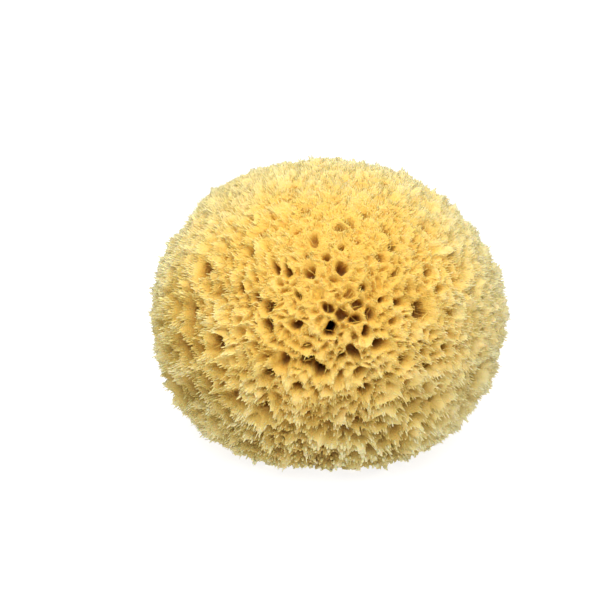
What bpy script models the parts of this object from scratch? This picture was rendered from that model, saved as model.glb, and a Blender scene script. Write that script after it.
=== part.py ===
"""A wool sponge as it is sold for the bath: one skeleton of springy fibre, grown as a rounded mound and
cut off flat where it sat on the rock.

It is a single solid. Its outside is a crowd of pointed tufts with hollows between them, opened by oscules,
the large holes that the living sponge pumped water out of. The cut face is flat, with the mouths of its
canals.

The frame is in metres, +Z up. The origin is the middle of the cut face, X runs along the widest side and
-Y faces the side that has the most oscules.
"""

import math
import random

import bmesh
import bpy
from mathutils import Vector, noise
from mathutils.kdtree import KDTree

MM = 0.001

# The outline through the tips of the tufts, as half sizes from the middle of the mound
HALF_WIDTH = 69.0 * MM
HALF_DEPTH = 64.0 * MM
HALF_HEIGHT = 59.0 * MM
FULLNESS = 2.25
CUT_BELOW_MIDDLE = 48.0 * MM
UNDULATION = 1.6 * MM
UNDULATION_PER_RADIUS = 2.6

# Swellings and hollows of the mound: azimuth and elevation in degrees, spread in degrees, height in mm
SWELLINGS = (
    (90, 0, 4, 4.0),
    (92, -9, 3, 3.0),
    (101, 19, 9, -2.2),
    (115, 39, 14, -4.2),
    (140, 52, 12, -1.0),
    (-107, 29, 12, -2.4),
    (-90, -2, 11, 2.6),
    (-79, -20, 8, -1.4),
    (-62, 8, 14, 1.6),
    (-50, -12, 7, -2.5),
    (-14, -47, 15, -2.6),
    (20, -48, 12, -1.4),
    (56, -46, 9, 1.8),
    (78, -22, 12, -3.2),
    (-8, 62, 20, 1.0),
    (-30, 26, 11, -1.5),
    (8, 20, 15, -1.5),
)

# Oscules on the side that faces the viewer: azimuth and elevation in degrees, diameter and depth in mm
FACING_OSCULES = (
    (-1, 23, 4.2, 17), (-8, 12, 3.8, 17), (-4, 10, 4.6, 16), (31, 25, 6.2, 16), (4, 28, 4.8, 11),
    (-2, 30, 3.6, 11), (-13, 24, 6.4, 10), (9, 26, 4.4, 12), (14, 27, 4.8, 10), (12, 22, 3.0, 14),
    (16, 18, 4.8, 12), (8, 15, 5.4, 11), (3, 15, 3.6, 10), (12, 36, 3.0, 14), (4, 43, 3.4, 12),
    (19, 32, 3.2, 14), (25, 30, 3.0, 11), (31, 48, 4.0, 10), (34, 54, 3.4, 8), (12, 60, 4.0, 8),
    (-23, 29, 4.6, 12), (-22, 23, 4.4, 12), (-29, 31, 3.4, 15), (-37, 33, 3.4, 13), (-53, 19, 4.6, 12),
    (-38, 13, 5.4, 14), (-20, 7, 4.6, 13), (-11, 4, 4.8, 11), (-16, 12, 4.6, 10), (-25, 42, 3.4, 9),
    (-19, 42, 3.2, 9), (-52, 61, 3.6, 8), (59, 40, 4.2, 9), (49, 53, 3.4, 7), (39, 12, 3.0, 10),
    (31, 7, 3.6, 11), (23, 11, 3.2, 9), (11, 2, 4.4, 10), (4, 0, 3.4, 9), (-56, 33, 6.0, 10),
    (-57, 26, 3.0, 9), (-42, -2, 3.4, 10), (-26, -17, 3.4, 9), (-7, -6, 3.2, 8), (-9, 53, 3.0, 7),
    (23, 45, 3.2, 8), (22, -14, 3.8, 9), (-13, 34, 3.0, 8), (10, 31, 3.4, 9), (-31, -4, 3.2, 8),
)

# Oscules everywhere else, scattered by the growth
GROWTH_SEED = 11
SCATTERED_OSCULES = 120
SCATTERED_DIAMETERS = (3.0, 6.4)
DEPTH_PER_DIAMETER = 2.2
LIP_BETWEEN_OSCULES = 3.2
TRIES_PER_HOLE = 12

# Tufts and the hollows between them, in mm
TUFT_SPACING = 5.7
TUFT_FROM_LIP = 1.9
TIP_SHORTFALL = 1.8
HOLLOW_DEPTHS = (5.2, 7.6)
HOLLOW_FROM_ANY_POINT = 1.5
LIP_DEPTHS = (0.4, 1.5)
LIP_NOTCH_DEPTHS = (2.4, 3.8)
HOLLOW_FROM_LIP = 0.6
FOUR_CORNERED_FLOOR_FROM = 3.9
FLOOR_RADIUS_PER_DIAMETER = 0.27
FLOOR_UNEVENNESS = (0.9, 1.05)
TRIES_FOR_TUFTS = 12000

# The cut face, in mm
CANALS = 24
TRIES_PER_CANAL = 100
CANAL_DIAMETERS = (2.4, 5.4)
CANAL_DEPTHS = (4.0, 8.0)
CANAL_FROM_RIM = 3.0
CUT_RIM_SPACING = 3.4
CUT_SPACING = 9.0
SOUND_MIDDLE = 5.0

# How far a direction is moved off the even spiral, for a mean gap of 1 between them
JITTER = 1.2

MEAN_RADIUS = 64.0
FIBRE_COLOUR = (0.80, 0.56, 0.22, 1.0)


def direction(azimuth, elevation):
    """The unit vector at these angles in degrees, where azimuth 0 is -Y and 90 is +X."""
    a, e = math.radians(azimuth), math.radians(elevation)
    return Vector((math.sin(a) * math.cos(e), -math.cos(a) * math.cos(e), math.sin(e)))


SWELLING_AXES = [(direction(a, e), math.radians(spread), height * MM) for a, e, spread, height in SWELLINGS]


def outline(way):
    """How far the tips of the tufts stand from the middle of the mound along the unit vector way."""
    halves = (HALF_WIDTH, HALF_DEPTH, HALF_HEIGHT)
    total = sum(abs(part / half) ** FULLNESS for part, half in zip(way, halves))
    reach = total ** (-1 / FULLNESS)
    reach += UNDULATION * noise.noise(way * UNDULATION_PER_RADIUS)
    for axis, spread, height in SWELLING_AXES:
        reach += height * math.exp(-((way.angle(axis) / spread) ** 2))
    return reach


def to_cut(way):
    """How far the cut face is from the middle along way, or infinity where way doesn't meet it."""
    return CUT_BELOW_MIDDLE / -way.z if way.z < 0 else math.inf


def surface(way):
    """How far the sponge reaches along way: to the tips of its tufts, or to the cut face if that is nearer."""
    return min(outline(way), to_cut(way))


def is_on_cut(way):
    return to_cut(way) < outline(way)


def apart(first, second):
    """The distance in mm between two directions on the mound."""
    return (first - second).length * MEAN_RADIUS


def ring(middle, radius, count, turn):
    """Directions that stand evenly at radius, in mm, round the direction middle."""
    side = middle.orthogonal().normalized()
    across = middle.cross(side)
    tilt = radius / MEAN_RADIUS
    found = []
    for step in range(count):
        angle = turn + math.tau * step / count
        lean = side * math.cos(angle) + across * math.sin(angle)
        found.append((middle * math.cos(tilt) + lean * math.sin(tilt)).normalized())
    return found


def spread_out(chance, count):
    """count directions on a golden spiral over the sphere, each moved a little, and shuffled."""
    golden = math.pi * (3 - math.sqrt(5))
    jitter = JITTER / math.sqrt(count)
    found = []
    for step in range(count):
        height = 1 - (2 * step + 1) / count
        wide = math.sqrt(1 - height * height)
        way = Vector((wide * math.cos(golden * step), wide * math.sin(golden * step), height))
        way += Vector([chance.uniform(-jitter, jitter) for _ in range(3)])
        found.append(way.normalized())
    chance.shuffle(found)
    return found


class Crowd:
    """Directions held in cubes, so that those near a new one are found quickly."""

    def __init__(self, reach):
        self.cell = reach / MEAN_RADIUS
        self.cubes = {}

    def cube_of(self, way):
        return tuple(math.floor(part / self.cell) for part in way)

    def add(self, way):
        self.cubes.setdefault(self.cube_of(way), []).append(way)

    def has_within(self, way, distance):
        """Whether one stands within distance, in mm, which is at most the reach."""
        x, y, z = self.cube_of(way)
        for cube in [(x + i, y + j, z + k) for i in (-1, 0, 1) for j in (-1, 0, 1) for k in (-1, 0, 1)]:
            if any(apart(way, other) < distance for other in self.cubes.get(cube, ())):
                return True
        return False


def is_clear(way, radius, holes, lip):
    return all(apart(way, middle) > radius + diameter / 2 + lip for middle, diameter, _ in holes)


def oscules(chance):
    """Every oscule as its direction, diameter and depth in mm: the facing ones, then the scattered ones."""
    holes = [(direction(a, e), diameter, depth) for a, e, diameter, depth in FACING_OSCULES]
    wanted = len(holes) + SCATTERED_OSCULES
    for way in spread_out(chance, TRIES_PER_HOLE * SCATTERED_OSCULES):
        low, high = SCATTERED_DIAMETERS
        diameter = low + (high - low) * chance.random() ** 2
        lip = LIP_BETWEEN_OSCULES * chance.uniform(1, 2)
        if len(holes) == wanted:
            break
        if any(is_on_cut(edge) for edge in ring(way, diameter, 6, 0)):
            continue
        if is_clear(way, diameter / 2, holes, lip):
            holes.append((way, diameter, diameter * DEPTH_PER_DIAMETER))
    return holes


def canals(chance):
    """The mouths of the canals on the cut face, clear of its rim and of the sound flesh in its middle."""
    holes = []
    down = Vector((0, 0, -1))
    for way in spread_out(chance, TRIES_PER_CANAL * CANALS):
        diameter = chance.uniform(*CANAL_DIAMETERS)
        if len(holes) == CANALS:
            break
        if apart(way, down) < SOUND_MIDDLE + diameter / 2:
            continue
        if not all(is_on_cut(edge) for edge in ring(way, diameter / 2 + CANAL_FROM_RIM, 6, 0)):
            continue
        if is_clear(way, diameter / 2, holes, LIP_BETWEEN_OSCULES):
            holes.append((way, diameter, chance.uniform(*CANAL_DEPTHS)))
    return holes


def hole_points(hole, chance, on_cut):
    """The lip of a hole, with every second point in a notch unless it is on the cut face, and its floor."""
    middle, diameter, depth = hole
    turn = chance.uniform(0, math.tau)
    corners = 2 * round(2.4 + diameter / 4)
    points = []
    for count, way in enumerate(ring(middle, diameter / 2, corners, turn)):
        below = chance.uniform(*(LIP_NOTCH_DEPTHS if count % 2 else LIP_DEPTHS))
        points.append((way, 0 if on_cut else below))
    if diameter < FOUR_CORNERED_FLOOR_FROM:
        return points + [(middle, depth)]
    floor = ring(middle, diameter * FLOOR_RADIUS_PER_DIAMETER, 4, turn)
    return points + [(way, depth * chance.uniform(*FLOOR_UNEVENNESS)) for way in floor]


def tuft_and_cut_points(chance, holes, taken):
    """The tips of the tufts, and the points of the cut face, which stand close together only along its rim."""
    tips, cut = Crowd(TUFT_SPACING), Crowd(CUT_SPACING)
    sizes = KDTree(len(holes))
    for index, (middle, _, _) in enumerate(holes):
        sizes.insert(middle, index)
    sizes.balance()
    points = []
    for way in spread_out(chance, TRIES_FOR_TUFTS):
        near = [holes[index] for _, index, _ in sizes.find_n(way, 3)]
        if not is_clear(way, 0, near, TUFT_FROM_LIP) or taken.has_within(way, TUFT_FROM_LIP):
            continue
        if is_on_cut(way):
            by_rim = any(not is_on_cut(edge) for edge in ring(way, CUT_RIM_SPACING, 6, 0))
            if not cut.has_within(way, CUT_RIM_SPACING if by_rim else CUT_SPACING):
                cut.add(way)
                points.append((way, 0))
        elif not tips.has_within(way, TUFT_SPACING):
            tips.add(way)
            points.append((way, TIP_SHORTFALL * chance.random() ** 1.5))
    return points


def hull_of(ways):
    """A closed skin of triangles over these directions."""
    bm = bmesh.new()
    for way in ways:
        bm.verts.new(way)
    bm.verts.index_update()
    bmesh.ops.convex_hull(bm, input=bm.verts)
    return bm


def hollow_points(chance, points, holes):
    """A hollow in each triangle between neighbouring tips and lips, clear of the holes and of the cut face."""
    taken = Crowd(TUFT_SPACING)
    for way, _ in points:
        taken.add(way)
    skin = hull_of([way for way, _ in points])
    found = []
    for face in skin.faces:
        way = face.calc_center_median().normalized()
        if is_on_cut(way) or taken.has_within(way, HOLLOW_FROM_ANY_POINT):
            continue
        if is_clear(way, 0, holes, HOLLOW_FROM_LIP):
            taken.add(way)
            found.append((way, chance.uniform(*HOLLOW_DEPTHS)))
    skin.free()
    return found


def sponge_mesh():
    """Draws a skin over the directions of all the points, then moves each point out to where it belongs."""
    chance = random.Random(GROWTH_SEED)
    open_holes, cut_holes = oscules(chance), canals(chance)
    points = [point for hole in open_holes for point in hole_points(hole, chance, False)]
    points += [point for hole in cut_holes for point in hole_points(hole, chance, True)]
    taken = Crowd(TUFT_SPACING)
    for way, _ in points:
        taken.add(way)
    points += tuft_and_cut_points(chance, open_holes + cut_holes, taken)
    points += hollow_points(chance, points, open_holes + cut_holes)

    skin = hull_of([way for way, _ in points])
    middle = Vector((0, 0, CUT_BELOW_MIDDLE))
    for vert in skin.verts:
        way, below = points[vert.index]
        vert.co = middle + way * (surface(way) - below * MM)
    loose = [vert for vert in skin.verts if not vert.link_faces]
    bmesh.ops.delete(skin, geom=loose, context="VERTS")
    mesh = bpy.data.meshes.new("sponge")
    skin.to_mesh(mesh)
    skin.free()
    return mesh


def fibre_material():
    material = bpy.data.materials.new("sponge_fibre")
    material.use_nodes = True
    shader = material.node_tree.nodes["Principled BSDF"]
    shader.inputs["Base Color"].default_value = FIBRE_COLOUR
    shader.inputs["Roughness"].default_value = 0.9
    shader.inputs["Metallic"].default_value = 0.0
    return material


def main():
    for old in list(bpy.data.objects):
        bpy.data.objects.remove(old)
    collection = bpy.data.collections.new("sea_sponge")
    bpy.context.scene.collection.children.link(collection)
    mesh = sponge_mesh()
    mesh.materials.append(fibre_material())
    collection.objects.link(bpy.data.objects.new("sponge", mesh))


main()
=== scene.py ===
"""The looks of a wool sponge: a rounded mound of springy fibre, cut off flat underneath.

The flesh is one closed body, pitted by oscules and by thousands of pores whose walls stand up as
ragged tufts. Fingers of fibre stand along the rims of those walls, fuzz and wool grow on them, and
strands cross some of the holes.
"""

import itertools
import math
import random

import bmesh
import bpy
import numpy as np
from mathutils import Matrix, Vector, noise
from mathutils.kdtree import KDTree


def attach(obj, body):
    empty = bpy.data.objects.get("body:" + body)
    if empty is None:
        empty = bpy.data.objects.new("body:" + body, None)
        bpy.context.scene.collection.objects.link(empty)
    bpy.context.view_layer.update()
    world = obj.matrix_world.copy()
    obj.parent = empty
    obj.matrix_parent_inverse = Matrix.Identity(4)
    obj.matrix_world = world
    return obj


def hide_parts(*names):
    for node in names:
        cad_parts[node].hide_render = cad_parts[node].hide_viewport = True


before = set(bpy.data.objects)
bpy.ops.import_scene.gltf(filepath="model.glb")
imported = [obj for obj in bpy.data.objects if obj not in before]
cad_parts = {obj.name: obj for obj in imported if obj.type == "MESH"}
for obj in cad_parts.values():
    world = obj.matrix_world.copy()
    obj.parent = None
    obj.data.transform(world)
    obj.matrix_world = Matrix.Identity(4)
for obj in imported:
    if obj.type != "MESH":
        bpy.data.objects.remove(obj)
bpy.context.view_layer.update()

MM = 0.001

# The outline through the tips of the tufts, with the values of the part's source
HALF_WIDTH = 69.0 * MM
HALF_DEPTH = 64.0 * MM
HALF_HEIGHT = 59.0 * MM
FULLNESS = 2.25
CUT_BELOW_MIDDLE = 48.0 * MM
UNDULATION = 1.6 * MM
UNDULATION_PER_RADIUS = 2.6
MEAN_RADIUS = 64.0

# Swellings and hollows of the mound: azimuth and elevation in degrees, spread in degrees, height in mm
SWELLINGS = (
    (90, 0, 4, 4.0), (92, -9, 3, 3.0), (101, 19, 9, -2.2), (115, 39, 14, -4.2), (140, 52, 12, -1.0),
    (-107, 29, 12, -2.4), (-90, -2, 11, 2.6), (-79, -20, 8, -1.4), (-62, 8, 14, 1.6), (-50, -12, 7, -2.5),
    (-14, -47, 15, -2.6), (20, -48, 12, -1.4), (56, -46, 9, 1.8), (78, -22, 12, -3.2), (-8, 62, 20, 1.0),
    (-30, 26, 11, -1.5), (8, 20, 15, -1.5),
)

# Oscules on the side that faces the viewer: azimuth and elevation in degrees, diameter and depth in mm
FACING_OSCULES = (
    (-1, 23, 4.2, 17), (-8, 13, 5.0, 17), (-4, 10, 5.6, 16), (31, 25, 6.2, 16), (4, 28, 4.8, 11),
    (-2, 30, 3.6, 11), (-13, 24, 5.2, 11), (9, 26, 4.4, 12), (14, 27, 4.8, 10), (12, 22, 3.0, 14),
    (16, 18, 4.8, 12), (8, 15, 5.4, 11), (3, 15, 3.6, 10), (12, 36, 3.0, 14), (4, 43, 3.4, 12),
    (19, 32, 3.2, 14), (25, 30, 3.0, 11), (31, 48, 4.0, 10), (34, 54, 3.4, 8), (12, 60, 4.0, 8),
    (-23, 29, 4.6, 12), (-22, 23, 4.4, 12), (-29, 31, 3.4, 15), (-37, 33, 3.4, 13), (-53, 19, 4.6, 12),
    (-38, 13, 5.4, 14), (-20, 7, 4.6, 13), (-11, 4, 4.8, 11), (-16, 12, 4.6, 10), (-25, 42, 3.4, 9),
    (-19, 42, 3.2, 9), (-52, 61, 3.6, 8), (59, 40, 4.2, 9), (49, 53, 3.4, 7), (39, 12, 3.0, 10),
    (31, 7, 3.6, 11), (23, 11, 3.2, 9), (11, 2, 4.4, 10), (4, 0, 3.4, 9), (-56, 33, 6.0, 10),
    (-57, 26, 3.0, 9), (-42, -2, 3.4, 10), (-26, -17, 3.4, 9), (-7, -6, 3.2, 8), (-9, 53, 3.0, 7),
    (23, 45, 3.2, 8), (22, -14, 3.8, 9), (-13, 34, 3.0, 8), (10, 31, 3.4, 9), (-31, -4, 3.2, 8),
    (-47, 68, 4.8, 10), (-71, 76, 4.6, 10), (1, 72, 5.6, 10), (60, 78, 4.6, 10), (66, 66, 4.2, 10),
    (5, 58, 3.6, 10), (28, 64, 4.4, 10), (53, 59, 4.6, 10), (-11, 47, 2.6, 9), (57, 48, 4.8, 10),
    (51, 32, 4.6, 10), (41, 36, 3.4, 9), (50, 18, 4.0, 10), (-61, 52, 5.0, 10), (-40, 51, 3.6, 9),
    (57, 24, 3.8, 9), (52, 6, 3.6, 9), (45, -4, 3.4, 9), (-21, 66, 4.2, 10), (-38, 44, 3.4, 9),
    (-62, 43, 4.4, 10), (5, 50, 2.4, 9), (-3, 47, 2.4, 9), (70, 12, 4.0, 9),
)

# Oscules everywhere else and the canals of the cut face, scattered as in the part's source
GROWTH_SEED = 11
DRIFT_SEED = 5
SCATTERED_OSCULES = 120
SCATTERED_DIAMETERS = (3.0, 6.4)
MOSTLY_NARROW = 2
DEPTH_PER_DIAMETER = 2.2
LIP_BETWEEN_OSCULES = 3.2
LIP_VARIES = (1, 2)
RING_POINTS = 6
TRIES_PER_HOLE = 12
CANALS = 24
CANAL_DIAMETERS = (2.4, 5.4)
CANAL_DEPTHS = (4.0, 8.0)
CANAL_FROM_RIM = 3.0
TRIES_PER_CANAL = 100
SOUND_MIDDLE = 5.0
JITTER = 1.2

# The cut face and its rim: how far past the rim pores stay shallow, how deep its dimples and pores
# are, and how dark its tone is, in mm below the outline, with painted shade added in its dimples and pores
CUT_RIM = 1.1
SHALLOW_AT_CUT = 0.3
CUT_DIMPLES = 1.0
CUT_PORES = 0.6
CUT_SHADE = 2.5

# Pores: the smaller holes between the oscules, in mm. Each round gives the least and greatest
# diameter, then the least and greatest distance between lips, and large ones are placed first
PORE_TRIES = 7000
PORE_ROUNDS = ((1.8, 3.0, 2.6, 4.2), (1.0, 1.8, 2.0, 3.2), (0.6, 1.1, 1.5, 2.4))
CROWN_PORE_TRIES = 60000
CROWN_PORES = (0.6, 1.4, 1.1, 2.6)
CROWN_PORES_END = (0.1, 0.6)
DEPTH_PER_PORE = (0.8, 2.6)
DARK_FROM_DEPTH = 15.0
SHALLOWER = 0.66
RAGGED_WAVES = ((7.5, 2.2), (2.8, 0.9), (1.4, 0.35))
UNRAGGED_STEPS = 8
NEAREST_HOLES = 9

# How much a distance across the way that the tufts are combed is shortened
ACROSS_COMB = 0.55

# How much farther apart the pores are round these directions: azimuth, elevation and spread in
# degrees, share
PORE_SPREADS = (
    (3, 26, 32, -0.45), (-52, 4, 28, 0.7), (-20, -5, 22, 0.3), (2, -42, 35, 0.2), (2, 58, 20, 0.5),
    (0, 85, 30, 0.6), (80, 20, 40, 0.3),
)

# The walls: every hole is the bottom of a cup, and the cups meet in thin rims, in mm
FLESH_SUBDIVISIONS = 7
FLESH_CUTS = 2
LEAST_BELOW = 0.3
THINNEST_WALL = 0.3
RIM_BELOW = 2.4
RIM_SEED = 8
RIM_SWELLS = ((9.0, 1.8), (2.8, 1.6), (1.3, 0.6))
RIM_CORNER_RISE = 0.8
RIM_CORNER_WIDTH = 1.3
CUP_DEPTH = 2.2
CUP_DEPTH_PER_WIDTH = 1.3
CUP_DEPTH_MOST = 6.6
CUP_CURVE = 1.5
CROWN_CUPS = 0.35
CROWN_FLAT_FROM = 0.6
WOOLLY_CUPS = 0.32
GRAIN_SEED = 5
GRAIN = ((1.6, 0.3), (0.9, 0.2))
WELL_STEEPNESS = 3.5
LIP_IN_WELL = 0.5

# The middle of the side with the oscules, where the tufts are short and round and from which they
# are combed: azimuth and elevation in degrees
CROWN = (3, 30)
CROWN_FROM, CROWN_TO = 15.0, 65.0
CROWN_TUFTS = 0.7

# Where the walls stand open, with little wool over them: azimuth, elevation and spread in degrees,
# share
OPEN_WALLS = ((-55, 0, 34, 0.6), (-20, -15, 25, 0.8), (2, -40, 40, 1.0))
OPEN_SHARE = 0.8

# The smoother plateau above the oscules: azimuth, elevation and spread in degrees, and how much
# flatter it is
PLATEAU = (2, 56, 22)
FLATTER = 0.65
SPARSE_ON_PLATEAU = 0.8

# The round, stout knobs low down: azimuth, elevation and spread in degrees, then how much rounder
# and higher the tufts are there
KNOBS = (2, -38, 38)
ROUNDER_KNOBS = 0.8
HIGHER_KNOBS = 0.45

# How the rims lean over, in mm, for one that rises by the full height
FULL_RISE = 6.0
LEAN_SHIFT = 5.6
LEAN_STEEPNESS = 1.6
LEAN_AT_CUT = 0.7
STEADY_ABOVE = 4.0
CLEAR_OF_CUT = 0.15
LEAN_SEED = 2
LEAN_WAVES = ((9.0, 0.5), (3.6, 0.45))

# How strong the painted shade in the fibre's colour is: less in the wool, more on the open walls and in the
# wells of the holes
LESS_PAINTED_SHADE_IN_WOOL = 0.6
MORE_PAINTED_SHADE_ON_OPEN_WALLS = 1.0
WELLS_FROM = 0.4
PAINTED_SHADE_IN_WELLS = 1.22

# Every fibre: its bends as shares of its length, and how it curls off, in mm
BENDS = (0.0, 0.4, 0.8, 1.0)
CURL_STEEPNESS = 1.5
CURL_SEED = 4.0
SCATTER_JITTER = 0.7
CLEAR_OF_RIM = 1.01
FIBRES_PER_PIECE = 12000

# Fingers of fibre along the rims, in mm, stout on open walls and fine in the wool
FINGER_TRIES = 420000
FINGER_FROM_MIDDLE = 0.14
MORE_IN_THE_OPEN = 0.14
FINGER_SPACING = 0.62
FINGER_LENGTH = (0.6, 1.6)
WOOL_LENGTH = (0.5, 1.3)
FINGERS_MOSTLY_SHORT = 1.3
CROWN_FINGER_LENGTH = 0.4
SHORTER_ON_KNOBS = 0.6
FINGER_RADIUS = (0.3, 0.48)
WOOL_RADIUS = (0.2, 0.3)
CROWN_FINGER_RADIUS = 0.65
STOUTER_ON_KNOBS = 0.8
CURLS = ((2.6, 0.8), (1.2, 0.7))
FINGER_STRAY = 0.1
FINGER_COMB = 0.5
# Fingers are coloured paler than their depth, painted light on the crests, with a random spread in tone;
# more so on the knobs
FINGER_TONE_AND_PAINTED_LIGHT = (-0.9, 0.4)
PAINTED_LIGHT_ON_KNOBS = 0.5
FINGER_ROOT = 0.7

# Fuzz on the walls at the crown and wool round it, in mm
FUZZ_TRIES = 85000
FUZZ_AT_CROWN = 0.7
FUZZ_FADES = 1.15
FUZZ_IN_WOOL = 0.8
FUZZ_FROM_LIP = 0.25
FUZZ_LENGTH = (0.35, 1.15)
FLEECE_LENGTH = (0.6, 1.4)
FUZZ_MOSTLY_SHORT = 1.4
FUZZ_RADIUS = (0.16, 0.28)
FINER_FLEECE = 0.35
FUZZ_CURL = (2.2, 0.6)
FUZZ_STRAY = 0.16
FUZZ_COMB = 1.1
FUZZ_SHADE = 0.3
FUZZ_ROOT = 0.5

# Strands across the holes at the crown, in mm, with turns in radians
STRAND_HOLES = 1.1
STRANDS_END = 0.75
MOST_STRANDS = 2
STRAND_TURN = (1.2, 3.1)
STRAND_SHARES = (0, 0.35, 0.7, 1)
PAST_THE_LIP = 1.15
STRAND_BELOW = (2.6, 5.5)
STRAND_WAVER = 0.6
STRAND_RADIUS = (0.14, 0.25)

# Where along a fibre its rings of three points are, and how wide they are
STOUT_GIRTH = ((0, 1.0), (1, 1.0), (2, 0.8))
FINE_GIRTH = ((0, 1.0), (2, 0.75))
SLANT = (0.31, 0.52, 0.79)

# The fibre's colour against how far below the outline it lies, where 1 is DARKEST_BELOW in mm. The fall
# from pale tips through golden walls to dark brown and near black in the deepest holes is painted shade
DARKEST_BELOW = 16.0
PATCH_SHIFT = 3.0
CROWN_COLOURS = (
    (0.09, (0.85, 0.63, 0.215)),
    (0.20, (0.79, 0.515, 0.11)),
    (0.33, (0.67, 0.385, 0.057)),
    (0.48, (0.54, 0.285, 0.046)),
    (0.68, (0.45, 0.215, 0.048)),
    (0.88, (0.36, 0.165, 0.045)),
    (1.0, (0.06, 0.03, 0.015)),
)
SIDE_COLOURS = (
    (0.09, (0.79, 0.70, 0.40)),
    (0.19, (0.70, 0.575, 0.245)),
    (0.30, (0.535, 0.39, 0.108)),
    (0.43, (0.33, 0.215, 0.046)),
    (0.62, (0.235, 0.13, 0.03)),
    (0.95, (0.15, 0.075, 0.018)),
)

# The middle of the orange colour, as azimuth and elevation in degrees, and how far it reaches, in m
ORANGE_SPOT = (-8, 46)
ORANGE_FROM, ORANGE_TO = 0.045, 0.125
ORANGE_BLUR = 0.05

# Noise in the material, in waves per metre, and the grain's bump
PATCHES = 210
CLOUDS = 45
FIBRE_GRAIN = 1500
BUMP_STRENGTH = 0.9
BUMP_HEIGHT = 0.7 * MM

# The studio and the camera
FLOOR_SIZE = 4.0
FLOOR_GREY = 0.35
FLOOR_GLOW = 0.85
LAMP_SIZE = 1.4
LAMP_POWER = 22.2
LAMP_PLACE = (0.02, -0.36, 1.1)
SKY_STRENGTH = 0.31
CAMERA_ELEVATION = 28
CAMERA_DISTANCE = 0.7
LENS = 108.0
SENSOR = 36.0
AIM_ASIDE = -11.3 * MM
AIM_UP = 5.25 * MM

MIDDLE = np.array((0.0, 0.0, CUT_BELOW_MIDDLE))


def direction(azimuth, elevation):
    """The unit vector at these angles in degrees, where azimuth 0 is -Y and 90 is +X."""
    a, e = math.radians(azimuth), math.radians(elevation)
    return Vector((math.sin(a) * math.cos(e), -math.cos(a) * math.cos(e), math.sin(e)))


def unit(vectors):
    return vectors / np.linalg.norm(vectors, axis=1, keepdims=True)


def ripple(points, wave, seed=0.0):
    """Smooth noise from about -1 to 1 at each point, with bumps about one wave apart."""
    shift = Vector((seed, seed * 1.7, -seed))
    return np.array([noise.noise(Vector(point) / wave + shift) for point in points])


def drift(points, wave, seed=0.0):
    """A smooth field of vectors at these points."""
    shift = Vector((seed, seed * 1.7, -seed))
    return np.array([noise.noise_vector(Vector(point) / wave + shift) for point in points])


def outline(ways):
    """How far the tips of the tufts stand from the middle of the mound along these unit vectors."""
    halves = np.array((HALF_WIDTH, HALF_DEPTH, HALF_HEIGHT))
    total = (np.abs(ways / halves) ** FULLNESS).sum(axis=1)
    reach = total ** (-1 / FULLNESS) + UNDULATION * ripple(ways, 1 / UNDULATION_PER_RADIUS)
    for azimuth, elevation, spread, height in SWELLINGS:
        angle = np.arccos(np.clip(ways @ np.array(direction(azimuth, elevation)), -1, 1))
        reach += height * MM * np.exp(-((angle / math.radians(spread)) ** 2))
    return reach


def to_cut(ways):
    """How far the cut face is from the middle of the mound along these unit vectors."""
    down = np.maximum(-ways[:, 2], 1e-9)
    return np.where(ways[:, 2] < 0, CUT_BELOW_MIDDLE / down, np.inf)


def is_on_cut(way):
    ways = np.array([way])
    return to_cut(ways)[0] < outline(ways)[0]


def apart(first, second):
    """The distance in mm between two directions on the mound."""
    return (first - second).length * MEAN_RADIUS


def ring(middle, radius):
    """Directions that stand evenly at radius, in mm, round the direction middle."""
    side = middle.orthogonal().normalized()
    across = middle.cross(side)
    tilt = radius / MEAN_RADIUS
    found = []
    for step in range(RING_POINTS):
        angle = math.tau * step / RING_POINTS
        lean = side * math.cos(angle) + across * math.sin(angle)
        found.append((middle * math.cos(tilt) + lean * math.sin(tilt)).normalized())
    return found


def spread_out(chance, count):
    """count directions on a golden spiral over the sphere, each moved a little, and shuffled."""
    golden = math.pi * (3 - math.sqrt(5))
    jitter = JITTER / math.sqrt(count)
    found = []
    for step in range(count):
        height = 1 - (2 * step + 1) / count
        wide = math.sqrt(1 - height * height)
        way = Vector((wide * math.cos(golden * step), wide * math.sin(golden * step), height))
        way += Vector([chance.uniform(-jitter, jitter) for _ in range(3)])
        found.append(way.normalized())
    chance.shuffle(found)
    return found


def ease(values, low, high):
    """Smoothly from 0 at low to 1 at high."""
    share = np.clip((values - low) / (high - low), 0, 1)
    return share * share * (3 - 2 * share)


def degrees_from(ways, azimuth, elevation):
    return np.degrees(np.arccos(np.clip(ways @ np.array(direction(azimuth, elevation)), -1, 1)))


def off_crown(ways):
    """0 at the crown and 1 away from it."""
    return ease(degrees_from(ways, *CROWN), CROWN_FROM, CROWN_TO)


def near(ways, spot):
    """From 1 at a spot, given as azimuth, elevation and spread in degrees, to 0 far from it."""
    azimuth, elevation, spread = spot
    return np.exp(-((degrees_from(ways, azimuth, elevation) / spread) ** 2))


def open_share(ways):
    """How far the walls stand open, with little wool over them."""
    return off_crown(ways) * np.max([share * near(ways, spot) for *spot, share in OPEN_WALLS], axis=0)


def woolly(ways):
    """0 where the walls stand open and 1 where fur covers them."""
    return off_crown(ways) - OPEN_SHARE * open_share(ways)


def across_comb(ways):
    """Unit vectors along the surface, square to the way that leads off from the crown."""
    return unit(np.cross(ways, np.array(direction(*CROWN))) + 1e-9)


def shortened(ways):
    """How much a distance across the comb is shortened, so that pores there come out long and narrow."""
    combed = off_crown(ways) * (1 - ROUNDER_KNOBS * near(ways, KNOBS))
    return 1 - (1 - ACROSS_COMB) * combed


def pore_spread(ways):
    """How far apart the pores are, as a share of what is usual."""
    share = np.ones(len(ways))
    for azimuth, elevation, spread, more in PORE_SPREADS:
        share += more * near(ways, (azimuth, elevation, spread))
    return share


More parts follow.
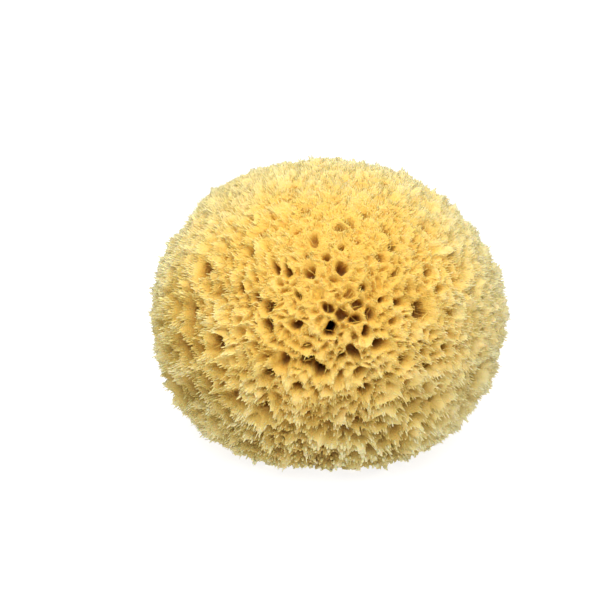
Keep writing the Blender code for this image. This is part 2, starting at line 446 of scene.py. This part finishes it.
def painted_shade_share(ways):
    """How strong the painted shade is: below 1 in the wool, which is paler down to its roots, above 1 on
    the open walls, darker at theirs.
    """
    return 1 - LESS_PAINTED_SHADE_IN_WOOL * woolly(ways) + MORE_PAINTED_SHADE_ON_OPEN_WALLS * open_share(ways)


def painted_shade(ways, below, up):
    """The painted shade of the fibre here: how far below the outline it lies, weaker on the walls of the
    wool and strongest in the wells.
    """
    share = painted_shade_share(ways)
    share += (PAINTED_SHADE_IN_WELLS - share) * ease(-up, 0, WELLS_FROM)
    return below * share


def is_clear(way, radius, holes, lip):
    return all(apart(way, middle) > radius + diameter / 2 + lip for middle, diameter, _ in holes)


def oscules(chance):
    """Every oscule as its direction, diameter and depth in mm: the facing ones, then the scattered ones."""
    ways = ragged(np.array([direction(*hole[:2]) for hole in FACING_OSCULES]))
    holes = [(Vector(way), *hole[2:]) for way, hole in zip(ways, FACING_OSCULES)]
    wanted = len(holes) + SCATTERED_OSCULES
    for way in spread_out(chance, TRIES_PER_HOLE * SCATTERED_OSCULES):
        low, high = SCATTERED_DIAMETERS
        diameter = low + (high - low) * chance.random() ** MOSTLY_NARROW
        lip = LIP_BETWEEN_OSCULES * chance.uniform(*LIP_VARIES)
        if len(holes) == wanted:
            break
        if any(is_on_cut(edge) for edge in ring(way, diameter)):
            continue
        if is_clear(way, diameter / 2, holes, lip):
            holes.append((way, diameter, diameter * DEPTH_PER_DIAMETER))
    return holes


def canals(chance):
    """The mouths of the canals on the cut face, clear of its rim and of the sound flesh in its middle."""
    holes = []
    down = Vector((0, 0, -1))
    for way in spread_out(chance, TRIES_PER_CANAL * CANALS):
        diameter = chance.uniform(*CANAL_DIAMETERS)
        if len(holes) == CANALS:
            break
        if apart(way, down) < SOUND_MIDDLE + diameter / 2:
            continue
        if not all(is_on_cut(edge) for edge in ring(way, diameter / 2 + CANAL_FROM_RIM)):
            continue
        if is_clear(way, diameter / 2, holes, LIP_BETWEEN_OSCULES):
            holes.append((way, diameter, chance.uniform(*CANAL_DEPTHS)))
    return holes


class Crowd:
    """Circles on the mound held in cubes, so that those near a new one are found quickly."""

    def __init__(self, reach):
        self.cell = reach / MEAN_RADIUS
        self.cubes = {}

    def cube_of(self, way):
        return tuple(math.floor(part / self.cell) for part in way)

    def add(self, way, radius=0.0):
        self.cubes.setdefault(self.cube_of(way), []).append((way, radius))

    def is_free(self, way, distance):
        """Whether every circle keeps more than distance, in mm, from the point way."""
        x, y, z = self.cube_of(way)
        for i, j, k in itertools.product((-1, 0, 1), repeat=3):
            for other, radius in self.cubes.get((x + i, y + j, z + k), ()):
                if apart(way, other) < distance + radius:
                    return False
        return True


def beside_cut(ways):
    """Whether these directions lead to the outer surface close to the rim of the cut face."""
    past = to_cut(ways) / outline(ways)
    return (past > 1) & (past < CUT_RIM)


def pores(chance, holes):
    """The holes, and pores packed between them, large ones first."""
    found = list(holes)
    middles = np.empty((len(holes) + len(PORE_ROUNDS) * PORE_TRIES, 3))
    radii = np.empty(len(middles))
    for row, (way, diameter, _) in enumerate(holes):
        middles[row], radii[row] = way, diameter / 2
    for narrow, wide, thin, thick in PORE_ROUNDS:
        ways = spread_out(chance, PORE_TRIES)
        rows = np.array(ways)
        squeeze = 1 - shortened(rows) ** 2
        for way, row, share, across, less, beside in zip(
            ways, rows, pore_spread(rows), across_comb(rows), squeeze, beside_cut(rows)
        ):
            diameter = chance.uniform(narrow, wide)
            need = diameter / 2 + chance.uniform(thin, thick) * share
            count = len(found)
            away = middles[:count] - row
            distance = np.sqrt((away**2).sum(axis=1) - less * (away @ across) ** 2) * MEAN_RADIUS
            if (distance > need + radii[:count]).all():
                middles[count], radii[count] = row, diameter / 2
                deep = chance.uniform(*DEPTH_PER_PORE)
                found.append((way, diameter, diameter * (min(deep, SHALLOW_AT_CUT) if beside else deep)))
    narrow, wide, thin, thick = CROWN_PORES
    crowd = Crowd(SCATTERED_DIAMETERS[1] / 2 + wide / 2 + thick)
    for way, diameter, _ in found:
        crowd.add(way, diameter / 2)
    ways = spread_out(chance, CROWN_PORE_TRIES)
    rows = np.array(ways)
    for way, away, share in zip(ways, off_crown(rows), 1 + SPARSE_ON_PLATEAU * near(rows, PLATEAU)):
        if away > chance.uniform(*CROWN_PORES_END):
            continue
        diameter = chance.uniform(narrow, wide)
        if crowd.is_free(way, diameter / 2 + chance.uniform(thin, thick) * share):
            crowd.add(way, diameter / 2)
            found.append((way, diameter, diameter * chance.uniform(*DEPTH_PER_PORE)))
    return found


def ragged(ways):
    """The directions moved about, so that no hole is round and some run into each other."""
    points = ways * MEAN_RADIUS
    moved = ways.copy()
    for wave, height in RAGGED_WAVES:
        moved += height / MEAN_RADIUS * drift(points, wave, wave)
    return unit(moved)


class Flesh:
    """The shape of the flesh: how far below the outline it lies along any direction."""

    def __init__(self):
        chance = random.Random(GROWTH_SEED)
        open_holes, cut_holes = oscules(chance), canals(chance)
        self.holes = pores(chance, open_holes + cut_holes)
        self.radius = np.array([diameter / 2 for _, diameter, _ in self.holes])
        self.depth = np.array([depth for _, _, depth in self.holes])
        shallower = SHALLOWER + (1 - SHALLOWER) * off_crown(np.array([way for way, _, _ in self.holes]))
        self.depth *= np.where(self.depth > DARK_FROM_DEPTH, 1, shallower)
        self.middles = np.array([way for way, _, _ in self.holes])
        self.hole_tree = KDTree(len(self.holes))
        for index, way in enumerate(self.middles):
            self.hole_tree.insert(way, index)
        self.hole_tree.balance()

    def nearest_holes(self, ways):
        """How far past the lips of the nearest holes each direction is, and which holes these are."""
        which = np.empty((len(ways), NEAREST_HOLES), int)
        for row, way in enumerate(ways):
            which[row] = [index for _, index, _ in self.hole_tree.find_n(Vector(way), NEAREST_HOLES)]
        away = self.middles[which] - ways[:, None]
        short = shortened(ways)[:, None]
        across = (away * across_comb(ways)[:, None]).sum(axis=2)
        distance = np.sqrt(np.maximum((away**2).sum(axis=2) - (1 - short**2) * across**2, 0))
        past = distance * MEAN_RADIUS - self.radius[which] * np.sqrt(short)
        order = np.argsort(past, axis=1)
        return np.take_along_axis(past, order, axis=1), np.take_along_axis(which, order, axis=1)

    def below(self, ways):
        """How far below the outline the flesh lies, in mm, and where: -1 deep in a hole, 0 at its lip,
        1 on a rim.
        """
        past, which = self.nearest_holes(ragged(ways))
        radius = self.radius[which[:, 0]]
        depth = self.depth[which[:, 0]]
        first, second, third = past[:, 0], past[:, 1], past[:, 2]
        width = np.maximum((first + second) / 2, THINNEST_WALL)
        up = np.clip(first / width, 0, 1)
        points = ways * MEAN_RADIUS
        rim = RIM_BELOW - RIM_CORNER_RISE * np.exp(-(((third - first) / RIM_CORNER_WIDTH) ** 2))
        for wave, height in RIM_SWELLS:
            rim += height * ripple(points, wave, wave + RIM_SEED)
        away = off_crown(ways)
        tufts = (CROWN_TUFTS + (1 - CROWN_TUFTS) * away) * (1 - FLATTER * near(ways, PLATEAU))
        tufts *= 1 + HIGHER_KNOBS * near(ways, KNOBS)
        rim = RIM_BELOW + (rim - RIM_BELOW) * tufts
        deep = np.minimum(CUP_DEPTH + CUP_DEPTH_PER_WIDTH * width, CUP_DEPTH_MOST)
        deep *= (CROWN_CUPS + (1 - CROWN_CUPS) * away) * (1 - (1 - WOOLLY_CUPS) * woolly(ways))
        deep *= 1 - FLATTER * near(ways, PLATEAU)
        open_cup, flat_lip = 1 - up**CUP_CURVE, 1 - ease(up / CROWN_FLAT_FROM, 0, 1)
        lip = rim + deep * (flat_lip + (open_cup - flat_lip) * away)
        for wave, height in GRAIN:
            lip += height * ripple(points, wave, wave + GRAIN_SEED)
        into = np.clip(-first / radius, 0, 1)
        well = 1 - (1 - into) ** WELL_STEEPNESS
        below = lip + np.maximum(depth - LIP_IN_WELL * lip, 0) * well
        return np.maximum(below, LEAST_BELOW), np.where(first < 0, -into, up)


def lean_of(ways):
    """Which way the tops of the walls lean: about, and away from the crown."""
    points = ways * MEAN_RADIUS
    crown = np.array(direction(*CROWN))
    lean = ways * (ways @ crown)[:, None] - crown
    for wave, height in LEAN_WAVES:
        lean += height * drift(points, wave, wave + LEAN_SEED)
    return lean - ways * (lean * ways).sum(axis=1, keepdims=True)


def place(ways, below, lean, on_cut=None):
    """Places on the sponge along these directions, this far below its outline or its cut face, in mm."""
    reach = outline(ways)
    height = np.clip(1 - below / FULL_RISE, 0, None)
    if on_cut is not None:
        reach = np.where(on_cut, to_cut(ways), reach)
        height = np.where(on_cut, 0, height)
    places = MIDDLE + ways * (reach - below * MM)[:, None]
    steady = LEAN_AT_CUT + (1 - LEAN_AT_CUT) * ease(places[:, 2], 0, STEADY_ABOVE * MM)
    places += lean * (steady * height**LEAN_STEEPNESS * LEAN_SHIFT * MM)[:, None]
    lowest = CLEAR_OF_CUT * MM
    if on_cut is not None:
        lowest = np.where(on_cut, 0, lowest)
    places[:, 2] = np.maximum(places[:, 2], lowest)
    return places


def new_piece(name, mesh, material):
    piece = bpy.data.objects.new(name, mesh)
    bpy.context.scene.collection.objects.link(piece)
    mesh.materials.append(material)
    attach(piece, "root")
    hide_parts("sponge")
    return piece


def write_painted_shade(mesh, values):
    """Keeps how far each point is below the outline, in mm, weighted for painted shade, which sets the
    fibre's colour.
    """
    layer = mesh.attributes.new("below", "FLOAT", "POINT")
    layer.data.foreach_set("value", np.asarray(values, np.float32))


def flesh_mesh(flesh):
    bm = bmesh.new()
    bmesh.ops.create_icosphere(bm, subdivisions=FLESH_SUBDIVISIONS, radius=1.0)
    bmesh.ops.subdivide_edges(bm, edges=bm.edges, cuts=FLESH_CUTS, use_grid_fill=True)
    mesh = bpy.data.meshes.new("flesh")
    bm.to_mesh(mesh)
    bm.free()
    ways = np.empty(len(mesh.vertices) * 3)
    mesh.vertices.foreach_get("co", ways)
    ways = unit(ways.reshape(-1, 3))
    below, up = flesh.below(ways)
    on_cut = to_cut(ways) < outline(ways) - below * MM
    into = ease(-up, 0, WELLS_FROM)
    cut_below = CUT_DIMPLES * (1 - np.maximum(up, 0)) ** 2 + CUT_PORES * below * into
    below = np.where(on_cut, cut_below, below)
    places = place(ways, below, lean_of(ways), on_cut)
    mesh.vertices.foreach_set("co", places.ravel())
    # Painted shade: the flesh is coloured darker the deeper it lies, and so are the dimples and pores of
    # the cut face
    cut_tone_and_painted_shade = CUT_SHADE + below * PAINTED_SHADE_IN_WELLS
    write_painted_shade(mesh, np.where(on_cut, cut_tone_and_painted_shade, painted_shade(ways, below, up)))
    mesh.update()
    return mesh


def scattered(generator, count):
    """count directions on a golden spiral over the sphere, off the cut face, each moved a little."""
    steps = np.arange(count)
    height = 1 - (2 * steps + 1) / count
    wide = np.sqrt(1 - height * height)
    turn = math.pi * (3 - math.sqrt(5)) * steps
    ways = np.stack((wide * np.cos(turn), wide * np.sin(turn), height), axis=1)
    ways = unit(ways + generator.normal(0, SCATTER_JITTER / math.sqrt(count), ways.shape))
    return ways[to_cut(ways) > outline(ways) * CLEAR_OF_RIM]


def between(limits, shares):
    """From the first of these limits at 0 to the second at 1."""
    low, high = limits
    return low + (high - low) * shares


def grown(ways, below, root, length, stray, tone_and_painted_light):
    """The bends of fibres as (count, 4, 3) places, and how far below the outline each bend is, in mm,
    shifted by each fibre's tone, which for the fingers carries painted light.
    """
    lean = lean_of(ways)
    bends, depths = [], []
    for share in BENDS:
        depth = below + root - (length + root) * share
        curl = stray * (share**CURL_STEEPNESS * length)[:, None] * MM
        bends.append(place(ways, depth, lean) + curl)
        depths.append(depth + tone_and_painted_light)
    return np.stack(bends, axis=1), np.stack(depths, axis=1)


def fingers(flesh):
    """The fibres that stand side by side along the rims."""
    generator = np.random.default_rng(GROWTH_SEED)
    ways = scattered(generator, FINGER_TRIES)
    below, up = flesh.below(ways)
    on_rim = up > 1 - FINGER_FROM_MIDDLE - MORE_IN_THE_OPEN * open_share(ways)
    ways, below = ways[on_rim], below[on_rim]
    stouter = 1 + STOUTER_ON_KNOBS * near(ways, KNOBS)
    order = generator.permutation(len(ways))
    crowd = Crowd(FINGER_SPACING * (1 + STOUTER_ON_KNOBS))
    chosen = []
    for index in order:
        way = Vector(ways[index])
        if crowd.is_free(way, FINGER_SPACING * stouter[index]):
            crowd.add(way)
            chosen.append(index)
    ways, below, stouter = ways[chosen], below[chosen], stouter[chosen]
    count = len(ways)
    away, wool, on_knob = off_crown(ways), woolly(ways), near(ways, KNOBS)
    along = generator.uniform(0, 1, count) ** FINGERS_MOSTLY_SHORT
    stout, fine = between(FINGER_LENGTH, along), between(WOOL_LENGTH, along)
    length = (stout + (fine - stout) * wool) * between((CROWN_FINGER_LENGTH, 1), away)
    length *= 1 - SHORTER_ON_KNOBS * on_knob
    stray = generator.normal(0, FINGER_STRAY, (count, 3)) + FINGER_COMB * lean_of(ways)
    for wave, curl in CURLS:
        stray += curl * drift(ways * MEAN_RADIUS, wave, CURL_SEED)
    # Painted light: each finger's colour is lifted paler than its depth, more on the knobs, with a random
    # spread in tone
    tone_and_painted_light = generator.normal(*FINGER_TONE_AND_PAINTED_LIGHT, count) - PAINTED_LIGHT_ON_KNOBS * on_knob
    bends, depths = grown(ways, below, FINGER_ROOT, length, stray, tone_and_painted_light)
    stout = between(FINGER_RADIUS, generator.uniform(0, 1, count))
    fine = between(WOOL_RADIUS, generator.uniform(0, 1, count))
    radius = (stout + (fine - stout) * wool) * between((CROWN_FINGER_RADIUS, 1), away) * stouter * MM
    return bends, depths * painted_shade_share(ways)[:, None], radius


def fuzz(flesh):
    """The short fibres on the walls at the crown, and the wool round it."""
    generator = np.random.default_rng(GROWTH_SEED + 1)
    ways = scattered(generator, FUZZ_TRIES)
    at_crown = FUZZ_AT_CROWN * (1 - FUZZ_FADES * off_crown(ways))
    kept = np.maximum(at_crown, FUZZ_IN_WOOL * woolly(ways))
    ways = ways[generator.uniform(0, 1, len(ways)) < kept]
    below, up = flesh.below(ways)
    on_wall = up > FUZZ_FROM_LIP
    ways, below = ways[on_wall], below[on_wall]
    count = len(ways)
    wool = woolly(ways)
    along = generator.uniform(0, 1, count) ** FUZZ_MOSTLY_SHORT
    short, long = between(FUZZ_LENGTH, along), between(FLEECE_LENGTH, along)
    length = short + (long - short) * wool
    wave, curl = FUZZ_CURL
    stray = curl * drift(ways * MEAN_RADIUS, wave, CURL_SEED)
    stray += generator.normal(0, FUZZ_STRAY, (count, 3)) + FUZZ_COMB * lean_of(ways)
    bends, depths = grown(ways, below, FUZZ_ROOT, length, stray, generator.normal(0, FUZZ_SHADE, count))
    radius = generator.uniform(*FUZZ_RADIUS, count) * (1 - FINER_FLEECE * wool) * MM
    return bends, depths * painted_shade_share(ways)[:, None], radius


def unragged(targets):
    """The directions that ragged() moves to these targets."""
    ways = targets.copy()
    for _ in range(UNRAGGED_STEPS):
        ways = unit(ways + targets - ragged(ways))
    return ways


def strands(flesh):
    """Single fibres that cross the mouths of the holes at the crown."""
    generator = np.random.default_rng(GROWTH_SEED + 2)
    away = off_crown(flesh.middles)
    bends = []
    for way, radius, off in zip(flesh.middles, flesh.radius, away):
        if radius < STRAND_HOLES or off > STRANDS_END:
            continue
        side = Vector(way).orthogonal().normalized()
        across = Vector(way).cross(side)
        reach = PAST_THE_LIP * radius / MEAN_RADIUS
        for _ in range(generator.integers(0, MOST_STRANDS + 1)):
            turn = generator.uniform(0, math.tau)
            start = side * math.cos(turn) + across * math.sin(turn)
            turn += generator.uniform(*STRAND_TURN)
            end = side * math.cos(turn) + across * math.sin(turn)
            line = [np.array(start.lerp(end, share)) for share in STRAND_SHARES]
            bends.append([way + spot * reach for spot in line])
    ways = unragged(unit(np.array(bends).reshape(-1, 3)))
    count, corners = len(bends), len(STRAND_SHARES)
    deep = np.repeat(generator.uniform(*STRAND_BELOW, count), corners)
    deep += generator.normal(0, STRAND_WAVER, corners * count)
    places = place(ways, deep, lean_of(ways)).reshape(count, corners, 3)
    return places, deep.reshape(count, corners), generator.uniform(*STRAND_RADIUS, count) * MM


def fibre_mesh(name, bends, depths, radius, girth):
    """Closed, three-sided, pointed fibres joined in one mesh. Girth is their width at some bends."""
    count = len(bends)
    along = unit(bends[:, 3] - bends[:, 0])
    side = unit(np.cross(along, np.array(SLANT)))
    across = np.cross(along, side)
    rings, levels = [], []
    for level, share in girth:
        levels += [level] * 3
        for corner in range(3):
            angle = math.tau * corner / 3
            offset = side * math.cos(angle) + across * math.sin(angle)
            rings.append(bends[:, level] + offset * (radius * share)[:, None])
    rings.append(bends[:, 3])
    levels.append(3)
    places = np.stack(rings, axis=1).reshape(-1, 3)
    places[:, 2] = np.maximum(places[:, 2], 0)
    faces = [(2, 1, 0)]
    top = 3 * len(girth) - 3
    for level in range(0, top, 3):
        for corner in range(3):
            a, b = level + corner, level + (corner + 1) % 3
            faces += [(a, b, b + 3), (a, b + 3, a + 3)]
    faces += [(top, top + 1, top + 3), (top + 1, top + 2, top + 3), (top + 2, top, top + 3)]
    firsts = len(rings) * np.arange(count)[:, None, None]
    all_faces = (np.array(faces)[None] + firsts).reshape(-1, 3)
    return joined_mesh(name, places, all_faces, depths[:, levels].ravel())


def joined_mesh(name, places, faces, depths):
    mesh = bpy.data.meshes.new(name)
    mesh.vertices.add(len(places))
    mesh.vertices.foreach_set("co", places.ravel())
    mesh.loops.add(faces.size)
    mesh.loops.foreach_set("vertex_index", faces.ravel())
    mesh.polygons.add(len(faces))
    mesh.polygons.foreach_set("loop_start", np.arange(0, faces.size, faces.shape[1]))
    mesh.polygons.foreach_set("use_smooth", np.ones(len(faces), bool))
    mesh.update(calc_edges=True)
    mesh.validate()
    write_painted_shade(mesh, depths)
    return mesh


def colour_ramp(nodes, links, position, stops):
    ramp = nodes.new("ShaderNodeValToRGB")
    while len(ramp.color_ramp.elements) < len(stops):
        ramp.color_ramp.elements.new(0.5)
    for element, (share, colour) in zip(ramp.color_ramp.elements, stops):
        element.position = share
        element.color = (*colour, 1)
    links.new(position, ramp.inputs["Fac"])
    return ramp.outputs["Color"]


def noise_texture(nodes, links, coordinates, scale, detail):
    texture = nodes.new("ShaderNodeTexNoise")
    texture.inputs["Scale"].default_value = scale
    texture.inputs["Detail"].default_value = detail
    links.new(coordinates, texture.inputs["Vector"])
    return texture.outputs["Fac"]


def shifted(nodes, links, value, shift, height):
    """value + shift * height."""
    total = nodes.new("ShaderNodeMath")
    total.operation = "MULTIPLY_ADD"
    total.inputs[1].default_value = height
    links.new(shift, total.inputs[0])
    links.new(value, total.inputs[2])
    return total.outputs["Value"]


def share_between(nodes, links, value, low, high, kind="LINEAR"):
    """From 0 at low to 1 at high."""
    share = nodes.new("ShaderNodeMapRange")
    share.interpolation_type = kind
    share.inputs["From Min"].default_value = low
    share.inputs["From Max"].default_value = high
    links.new(value, share.inputs["Value"])
    return share.outputs["Result"]


def sponge_fibre_material(name, bumpy):
    """Pale at the tips, golden on the walls and dark in the holes, a fall with depth that is painted shade,
    and more orange, the fibre's own colour, above the oscules.
    """
    material = bpy.data.materials.new(name)
    material.use_nodes = True
    nodes, links = material.node_tree.nodes, material.node_tree.links
    shader = nodes["Principled BSDF"]
    shader.inputs["Roughness"].default_value = 0.85
    shader.inputs["Specular IOR Level"].default_value = 0.25
    shader.inputs["Subsurface Weight"].default_value = 0.35
    shader.inputs["Subsurface Radius"].default_value = (1.0, 0.5, 0.15)
    shader.inputs["Subsurface Scale"].default_value = 2 * MM
    coordinates = nodes.new("ShaderNodeTexCoord").outputs["Object"]

    # How far below the outline the fibre lies, varied by small patches; it sets the painted shade
    below = nodes.new("ShaderNodeAttribute")
    below.attribute_name = "below"
    patches = noise_texture(nodes, links, coordinates, PATCHES, 4)
    varied = shifted(nodes, links, below.outputs["Fac"], patches, PATCH_SHIFT)
    depth = share_between(nodes, links, varied, 0.0, DARKEST_BELOW)

    # How far the orange spot is, blurred by large patches
    distance = nodes.new("ShaderNodeVectorMath")
    distance.operation = "DISTANCE"
    spot = MIDDLE + np.array(direction(*ORANGE_SPOT)) * MEAN_RADIUS * MM
    distance.inputs[1].default_value = spot
    links.new(coordinates, distance.inputs[0])
    clouds = noise_texture(nodes, links, coordinates, CLOUDS, 2)
    blurred = shifted(nodes, links, distance.outputs["Value"], clouds, ORANGE_BLUR)
    off_spot = share_between(nodes, links, blurred, ORANGE_FROM, ORANGE_TO, "SMOOTHSTEP")

    mix = nodes.new("ShaderNodeMix")
    mix.data_type = "RGBA"
    links.new(off_spot, mix.inputs["Factor"])
    links.new(colour_ramp(nodes, links, depth, CROWN_COLOURS), mix.inputs["A"])
    links.new(colour_ramp(nodes, links, depth, SIDE_COLOURS), mix.inputs["B"])
    links.new(mix.outputs["Result"], shader.inputs["Base Color"])
    if bumpy:
        bump = nodes.new("ShaderNodeBump")
        bump.inputs["Strength"].default_value = BUMP_STRENGTH
        bump.inputs["Distance"].default_value = BUMP_HEIGHT
        grain = noise_texture(nodes, links, coordinates, FIBRE_GRAIN, 3)
        links.new(grain, bump.inputs["Height"])
        links.new(bump.outputs["Normal"], shader.inputs["Normal"])
    return material


def floor_and_light():
    bm = bmesh.new()
    bmesh.ops.create_grid(bm, x_segments=1, y_segments=1, size=FLOOR_SIZE)
    mesh = bpy.data.meshes.new("floor")
    bm.to_mesh(mesh)
    bm.free()
    floor = bpy.data.objects.new("floor", mesh)
    bpy.context.scene.collection.objects.link(floor)
    paper = bpy.data.materials.new("white_paper")
    paper.use_nodes = True
    shader = paper.node_tree.nodes["Principled BSDF"]
    shader.inputs["Base Color"].default_value = (FLOOR_GREY, FLOOR_GREY, FLOOR_GREY, 1)
    shader.inputs["Roughness"].default_value = 1.0
    shader.inputs["Emission Color"].default_value = (1, 1, 1, 1)
    shader.inputs["Emission Strength"].default_value = FLOOR_GLOW
    mesh.materials.append(paper)

    lamp = bpy.data.lights.new("softbox", "AREA")
    lamp.shape = "DISK"
    lamp.size = LAMP_SIZE
    lamp.energy = LAMP_POWER
    softbox = bpy.data.objects.new("softbox", lamp)
    softbox.location = LAMP_PLACE
    aim = Vector((0, 0, CUT_BELOW_MIDDLE)) - softbox.location
    softbox.rotation_euler = aim.to_track_quat("-Z", "Y").to_euler()
    bpy.context.scene.collection.objects.link(softbox)

    world = bpy.context.scene.world or bpy.data.worlds.new("studio")
    bpy.context.scene.world = world
    world.use_nodes = True
    sky = world.node_tree.nodes["Background"]
    sky.inputs["Color"].default_value = (1, 1, 1, 1)
    sky.inputs["Strength"].default_value = SKY_STRENGTH


def camera_at_the_photo():
    """Looks along +Y and down on the mound, from as far away as the photograph was taken."""
    elevation = math.radians(CAMERA_ELEVATION)
    back = Vector((0, -math.cos(elevation), math.sin(elevation)))
    up = Vector((0, math.sin(elevation), math.cos(elevation)))
    aim = Vector((AIM_ASIDE, 0, CUT_BELOW_MIDDLE)) + up * AIM_UP
    lens = bpy.data.cameras.new("camera")
    lens.lens = LENS
    lens.sensor_width = SENSOR
    lens.clip_start = 0.01
    lens.clip_end = 20.0
    camera = bpy.data.objects.new("camera", lens)
    camera.location = aim + back * CAMERA_DISTANCE
    camera.rotation_euler = (-back).to_track_quat("-Z", "Y").to_euler()
    bpy.context.scene.collection.objects.link(camera)
    bpy.context.scene.camera = camera


def main():
    noise.seed_set(DRIFT_SEED)
    bpy.context.scene.view_settings.view_transform = "Standard"
    flesh = Flesh()
    body = new_piece("flesh", flesh_mesh(flesh), sponge_fibre_material("flesh_fibre", True))
    tuft = sponge_fibre_material("tuft_fibre", False)
    grown_fibres = (
        ("fingers", fingers(flesh), STOUT_GIRTH),
        ("fuzz", fuzz(flesh), FINE_GIRTH),
        ("strands", strands(flesh), STOUT_GIRTH),
    )
    for name, (bends, depths, radius), girth in grown_fibres:
        for number, start in enumerate(range(0, len(bends), FIBRES_PER_PIECE), 1):
            part = slice(start, start + FIBRES_PER_PIECE)
            mesh = fibre_mesh(f"{name}_{number}", bends[part], depths[part], radius[part], girth)
            new_piece(f"{name}_{number}", mesh, tuft)
    floor_and_light()
    camera_at_the_photo()


main()
